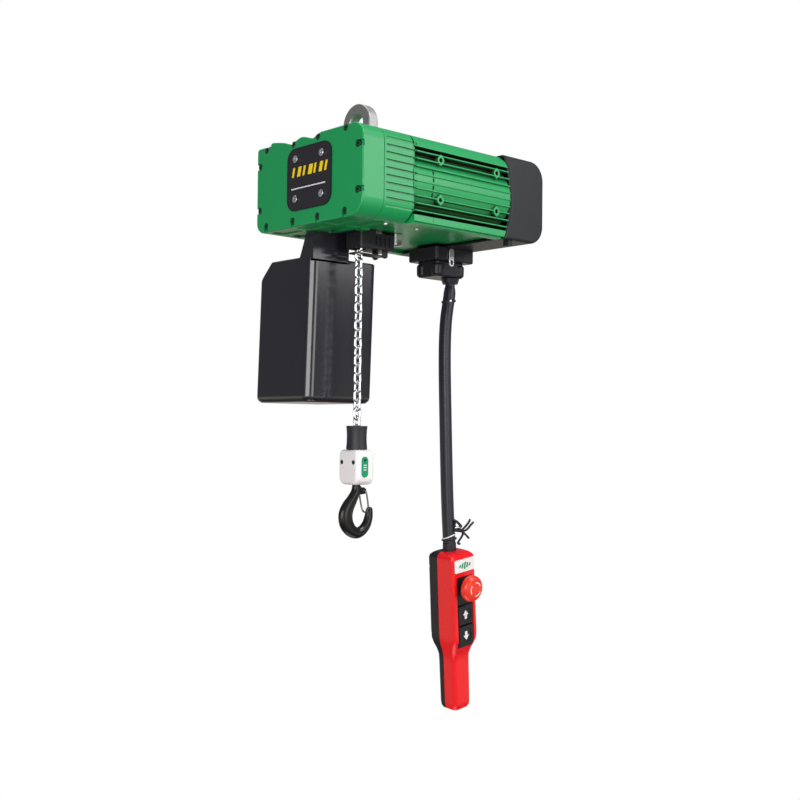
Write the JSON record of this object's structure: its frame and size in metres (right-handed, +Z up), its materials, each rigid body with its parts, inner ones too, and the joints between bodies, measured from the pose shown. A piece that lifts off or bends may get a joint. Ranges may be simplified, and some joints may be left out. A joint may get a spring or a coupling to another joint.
{
  "type": "electric chain hoist",
  "caption": "Electric chain hoist with suspension eye, chain bag, swivelling load hook with latch, and a hand-held pendant with stop button on a control cable",
  "frame": {"origin": "centre of the hole in the suspension eye, from which the hoist hangs", "axes": "+Z up along the load line, +X along the body towards the rear cover, -Y is the long side on the pendant's button side"},
  "size_m": [0.4353, 0.3329, 1.0776],
  "materials": {
    "green_paint": "painted, smooth satin",
    "black_plastic": "fine moulded texture",
    "black_gloss": "glossy moulded",
    "steel": "machined or forged",
    "zinc": "zinc plated",
    "dark_steel": "blackened",
    "rubber": "matt",
    "white_plastic": "moulded",
    "red_plastic": "moulded",
    "copper": "enamelled winding",
    "board": "solder-masked"
  },
  "bodies": {
    "hoist_body": {"gearbox_cover": "green_paint", "gearbox_housing": "green_paint", "motor_housing": "green_paint", "rear_cover": "black_plastic", "nameplate": "black_plastic", "chain_guide": "black_plastic", "connector_base": "black_plastic", "connector_hood": "black_plastic", "cable_gland": "black_plastic", "contactor": "black_plastic", "chain_bag": "black_gloss", "suspension_eye": "steel", "wheel_bearing_front": "steel", "wheel_bearing_rear": "steel", "motor_bearing_front": "steel", "motor_bearing_rear": "steel", "motor_end_shield": "steel", "nameplate_screw_1": "zinc", "nameplate_screw_2": "zinc", "nameplate_screw_3": "zinc", "nameplate_screw_4": "zinc", "stored_chain": "zinc", "cover_screw_1": "dark_steel", "cover_screw_2": "dark_steel", "cover_screw_3": "dark_steel", "cover_screw_4": "dark_steel", "bag_hanger_bolt": "dark_steel", "motor_stator": "copper", "brake_coil": "copper", "control_board": "board"},
    "rotor": {"motor_rotor": "steel", "brake_disc": "steel"},
    "layshaft": {"layshaft": "steel"},
    "wheel": {"output_gear": "steel", "load_wheel": "steel"},
    "brake_armature": {"brake_armature": "steel"},
    "limit_switch_lever": {"limit_switch_lever": "zinc"},
    "connector_lever": {"connector_lever": "zinc"},
    "hook_block": {"load_chain": "zinc", "chain_buffer": "rubber", "hook_block_front": "white_plastic", "hook_block_rear": "white_plastic", "block_screw_1": "dark_steel", "block_screw_2": "dark_steel", "chain_pin": "steel", "thrust_bearing": "steel"},
    "hook": {"hook": "dark_steel", "hook_nut": "steel", "latch_pin": "steel"},
    "hook_latch": {"hook_latch": "zinc"},
    "pendant": {"pendant_cable": "rubber", "pendant_front": "red_plastic", "pendant_back": "black_plastic", "pendant_label": "white_plastic", "pendant_gland": "rubber", "contact_block": "black_plastic"},
    "estop_stem": {"estop_stem": "black_plastic"},
    "estop_button": {"estop_button": "red_plastic"},
    "button_up": {"button_up": "black_plastic"},
    "button_down": {"button_down": "black_plastic"}
  },
  "joints": [
    {"name": "motor_spin", "type": "hinge", "parent": "hoist_body", "child": "rotor", "pos_m": [0, -0.065, -0.115], "axis": [-1, 0, 0], "range_deg": [0, 13680]},
    {"name": "layshaft_spin", "type": "hinge", "parent": "hoist_body", "child": "layshaft", "pos_m": [0, -0.02439, -0.09561], "axis": [-1, 0, 0], "range_deg": [-2736.5, 0]},
    {"name": "wheel_spin", "type": "hinge", "parent": "hoist_body", "child": "wheel", "pos_m": [0, 0.0244, -0.115], "axis": [-1, 0, 0], "range_deg": [0, 684.5]},
    {"name": "hook_lift", "type": "slide", "parent": "hoist_body", "child": "hook_block", "axis": [0, 0, 1], "range_m": [0, 0.2855], "deforming": ["load_chain"]},
    {"name": "hook_swivel", "type": "hinge", "parent": "hook_block", "child": "hook", "pos_m": [0, 0, -0.6124], "axis": [0, 0, 1], "continuous": true},
    {"name": "latch_hinge", "type": "hinge", "parent": "hook", "child": "hook_latch", "pos_m": [0.014, 0, -0.6234], "axis": [0, 1, 0], "range_deg": [0, 35], "stiffness_Nm_per_rad": 0.05, "springref_deg": -17.19},
    {"name": "limit_lever_hinge", "type": "hinge", "parent": "hoist_body", "child": "limit_switch_lever", "pos_m": [0.048, 0, -0.22], "axis": [0, 1, 0], "range_deg": [0, 5], "stiffness_Nm_per_rad": 0.1, "springref_deg": -11.46},
    {"name": "connector_lever_hinge", "type": "hinge", "parent": "hoist_body", "child": "connector_lever", "pos_m": [0.221, -0.00195, -0.192], "axis": [0, 1, 0], "range_deg": [0, 80]},
    {"name": "brake_armature_slide", "type": "slide", "parent": "hoist_body", "child": "brake_armature", "axis": [1, 0, 0], "range_m": [0, 0.0008], "stiffness_N_per_m": 2000, "springref_m": -0.001},
    {"name": "pendant_swing", "type": "hinge", "parent": "hoist_body", "child": "pendant", "pos_m": [0.2485, 0.028, -0.2464], "axis": [0, 1, 0], "range_deg": [-10, 10]},
    {"name": "estop_push", "type": "slide", "parent": "pendant", "child": "estop_stem", "axis": [-0.0027, 0.997, 0.0769], "range_m": [0, 0.004]},
    {"name": "estop_twist", "type": "hinge", "parent": "estop_stem", "child": "estop_button", "pos_m": [0.26214, 0.01112, -0.80532], "axis": [0.0027, -0.997, -0.0769], "range_deg": [0, 45], "stiffness_Nm_per_rad": 0.05, "springref_deg": -5.73},
    {"name": "button_up_push", "type": "slide", "parent": "pendant", "child": "button_up", "axis": [-0.0027, 0.997, 0.0769], "range_m": [0, 0.003], "stiffness_N_per_m": 300, "springref_m": -0.001},
    {"name": "button_down_push", "type": "slide", "parent": "pendant", "child": "button_down", "axis": [-0.0027, 0.997, 0.0769], "range_m": [0, 0.003], "stiffness_N_per_m": 300, "springref_m": -0.001}
  ],
  "couplings": [
    {"joint": "layshaft_spin", "follows": "motor_spin", "ratio": -0.2},
    {"joint": "wheel_spin", "follows": "motor_spin", "ratio": 0.05},
    {"joint": "hook_lift", "follows": "motor_spin", "m_per_rad": 0.0011937}
  ]
}
